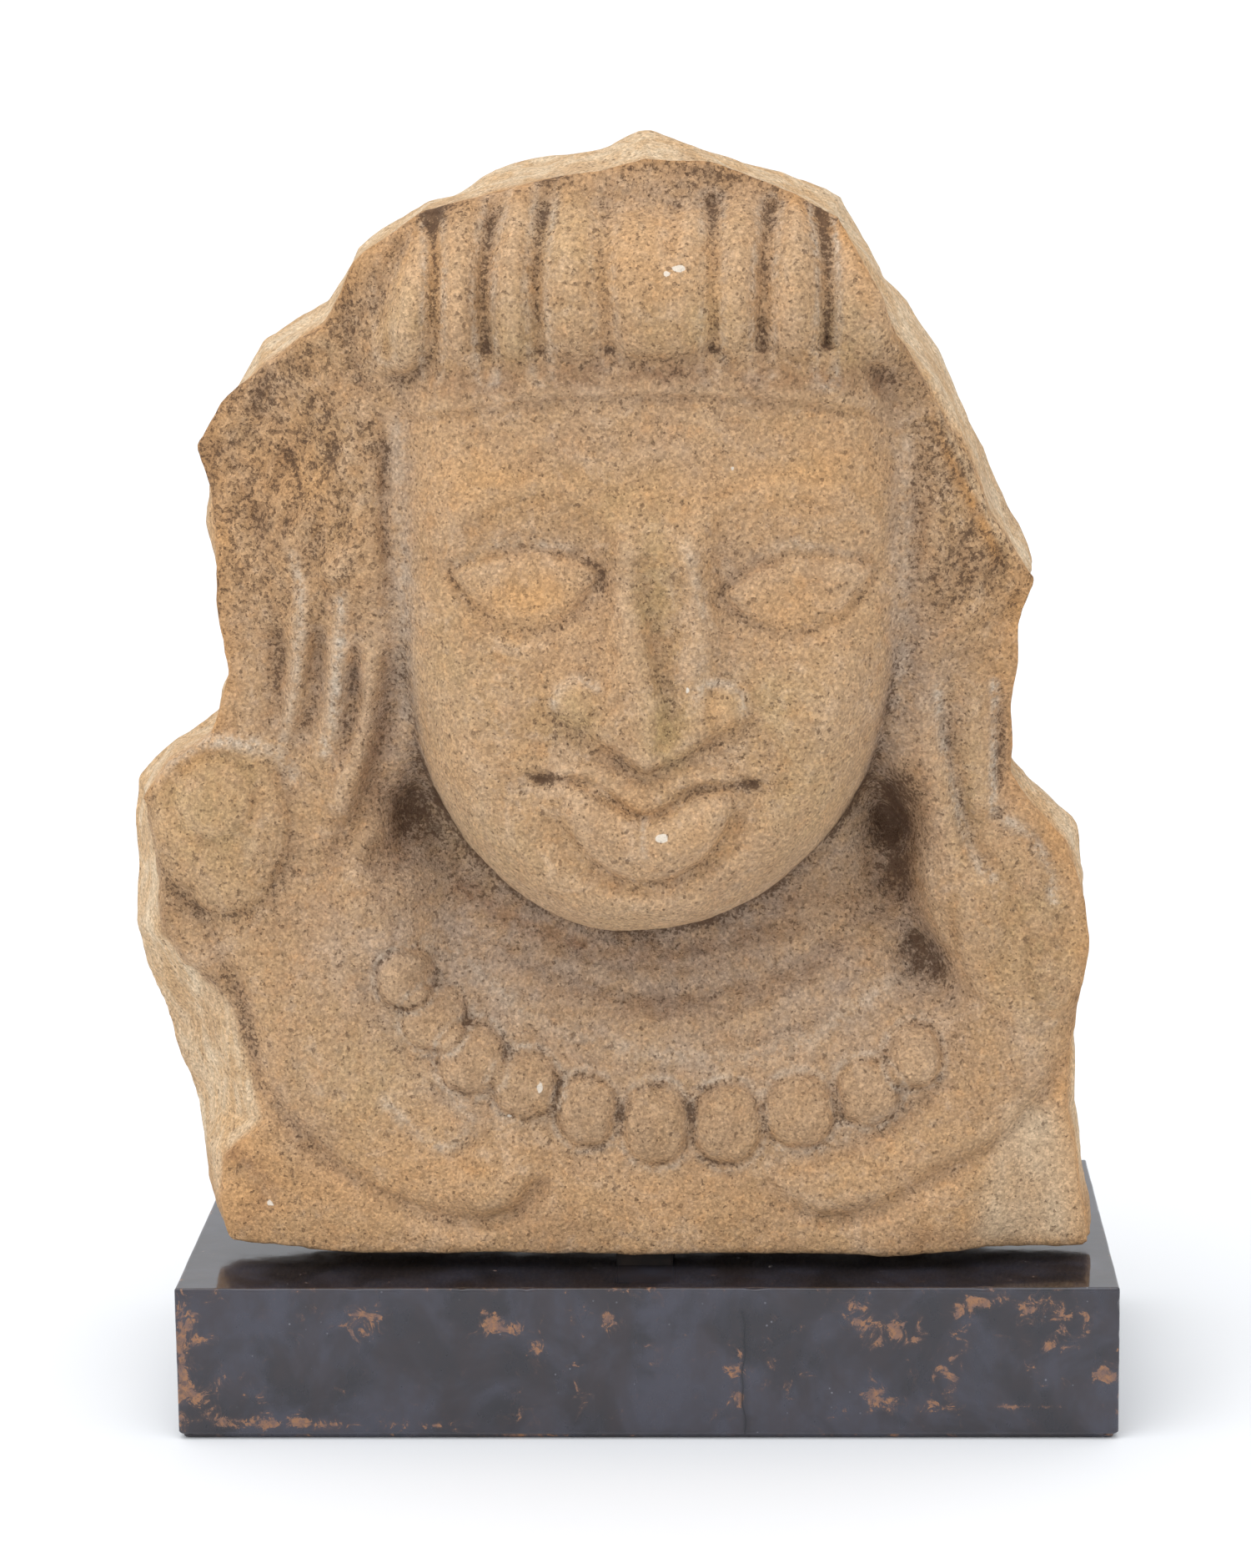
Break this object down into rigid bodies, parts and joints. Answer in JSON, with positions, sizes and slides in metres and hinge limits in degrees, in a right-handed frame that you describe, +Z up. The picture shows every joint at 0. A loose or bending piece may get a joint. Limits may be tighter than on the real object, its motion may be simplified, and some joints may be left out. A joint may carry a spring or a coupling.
{
  "type": "carved stone bust on a stand",
  "caption": "Broken relief bust of a crowned deity with downcast eyes and a bead necklace, carved in buff sandstone and held upright by a post in a dark rectangular block.",
  "frame": {"origin": "centre of the base block's underside", "axes": "+Z up, -Y towards the viewer of the carved face, +X to that viewer's right"},
  "size_m": [0.3215, 0.182, 0.4186],
  "materials": {
    "sandstone": "dry, grainy buff sandstone with grey dirt in the hollows",
    "blackened_steel": "blackened",
    "bronzed_lacquer": "near-black polished lacquer, worn through to copper brown"
  },
  "bodies": {
    "root": {"stone_bust": "sandstone", "mount_post": "blackened_steel", "base_block": "bronzed_lacquer"}
  },
  "joints": []
}
